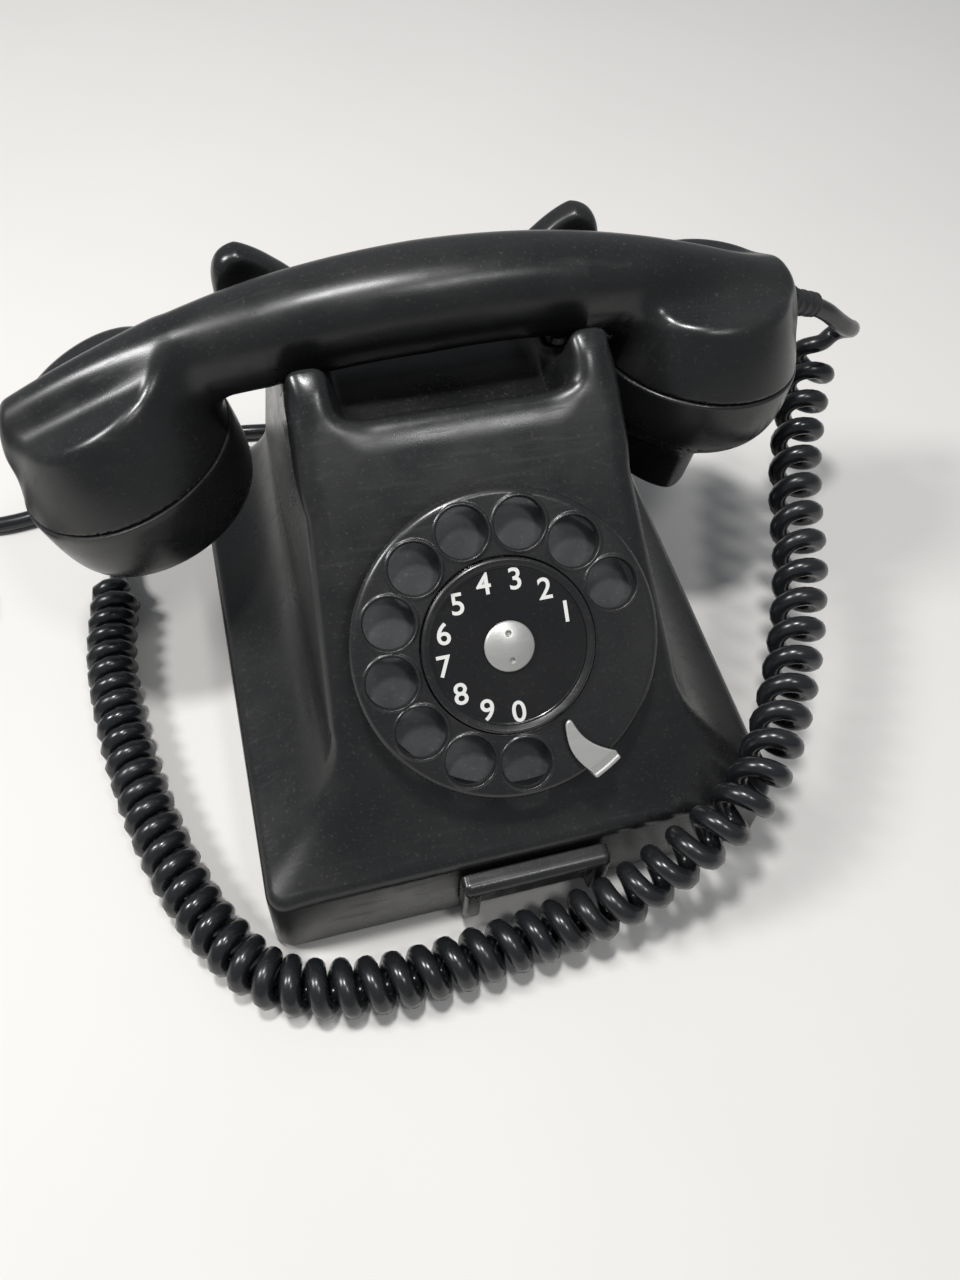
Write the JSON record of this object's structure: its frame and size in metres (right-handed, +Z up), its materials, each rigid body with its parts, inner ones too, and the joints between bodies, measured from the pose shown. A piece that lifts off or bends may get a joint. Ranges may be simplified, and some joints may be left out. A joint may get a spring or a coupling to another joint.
{
  "type": "corded landline phone",
  "caption": "Rotary desk telephone with a sloping dial face, a lift-off handset in a cradle, a curly handset cord and a line cord with a plug.",
  "frame": {"origin": "on the table surface, under the middle of the housing", "axes": "+X to the right of a person facing the dial, +Y towards the back, +Z up"},
  "size_m": [0.4079, 0.2423, 0.1384],
  "materials": {
    "bakelite": "polished black moulding",
    "brass": "bare brass",
    "copper": "wound copper wire",
    "enamel": "gloss black enamel",
    "fibre": "brown laminated insulation",
    "grey_metal": "dull grey plated metal",
    "grey_plate": "grey painted sheet",
    "rubber": "smooth black rubber",
    "steel": "plated steel"
  },
  "bodies": {
    "base": {"address_tray": "steel", "base_plate": "steel", "base_screw_front_left": "steel", "base_screw_front_right": "steel", "base_screw_rear_left": "steel", "base_screw_rear_right": "steel", "capacitor": "steel", "cord_tie": "rubber", "curly_cord": "rubber", "curly_cord_base_lead": "rubber", "curly_cord_handset_lead": "rubber", "curly_gland": "rubber", "dial_back_disc": "grey_plate", "dial_case": "bakelite", "finger_stop": "grey_metal", "foot_front_left": "rubber", "foot_front_right": "rubber", "foot_rear_left": "rubber", "foot_rear_right": "rubber", "gong_left": "brass", "gong_post_left": "steel", "gong_post_right": "steel", "gong_right": "brass", "governor_bracket": "brass", "housing": "bakelite", "induction_coil": "copper", "line_cord": "rubber", "line_cord_coil": "rubber", "line_cord_tail": "rubber", "line_gland": "rubber", "movement_plate": "brass", "plug": "bakelite", "plug_pins": "brass", "pulse_contacts": "fibre", "ringer_coil_left": "copper", "ringer_coil_right": "copper", "ringer_frame": "steel", "switch_hanger": "steel", "switch_springs": "fibre", "terminal_block": "bakelite", "tray_pull": "enamel"},
    "dial": {"finger_wheel": "enamel", "dial_label": "enamel", "label_ring": "enamel", "centre_cap": "grey_metal", "dial_spindle": "steel", "main_gear": "brass", "return_spring": "steel"},
    "governor": {"governor": "steel"},
    "clapper": {"clapper": "steel"},
    "cradle": {"plunger_left": "bakelite", "plunger_right": "bakelite", "hook_yoke": "steel"},
    "handset": {"handset_shell": "bakelite", "ear_cap": "bakelite", "mouth_cap": "bakelite", "receiver_capsule": "steel", "transmitter_capsule": "steel", "handset_boot": "rubber"}
  },
  "joints": [
    {"name": "handset_lift", "type": "slide", "parent": "base", "child": "handset", "axis": [0, 0, 1], "range_m": [0, 0.1], "deforming": ["curly_cord_handset_lead", "curly_cord"]},
    {"name": "cradle_rise", "type": "slide", "parent": "base", "child": "cradle", "axis": [0, 0, 1], "range_m": [0, 0.005]},
    {"name": "dial_spin", "type": "hinge", "parent": "base", "child": "dial", "pos_m": [0, -0.0457, 0.082], "axis": [0, 0.6639, -0.7478], "range_deg": [0, 320], "stiffness_Nm_per_rad": 0.008, "springref_deg": -34.38},
    {"name": "governor_spin", "type": "hinge", "parent": "base", "child": "governor", "pos_m": [0, -0.0561, 0.05303], "axis": [1, 0, 0], "range_deg": [-3841, 3841]},
    {"name": "clapper_swing", "type": "hinge", "parent": "base", "child": "clapper", "pos_m": [0, 0.015, 0.04469], "axis": [0, 0, 1], "range_deg": [-4, 4]}
  ],
  "couplings": [
    {"joint": "cradle_rise", "follows": "handset_lift", "ratio": 0.05},
    {"joint": "governor_spin", "follows": "dial_spin", "ratio": -12}
  ]
}
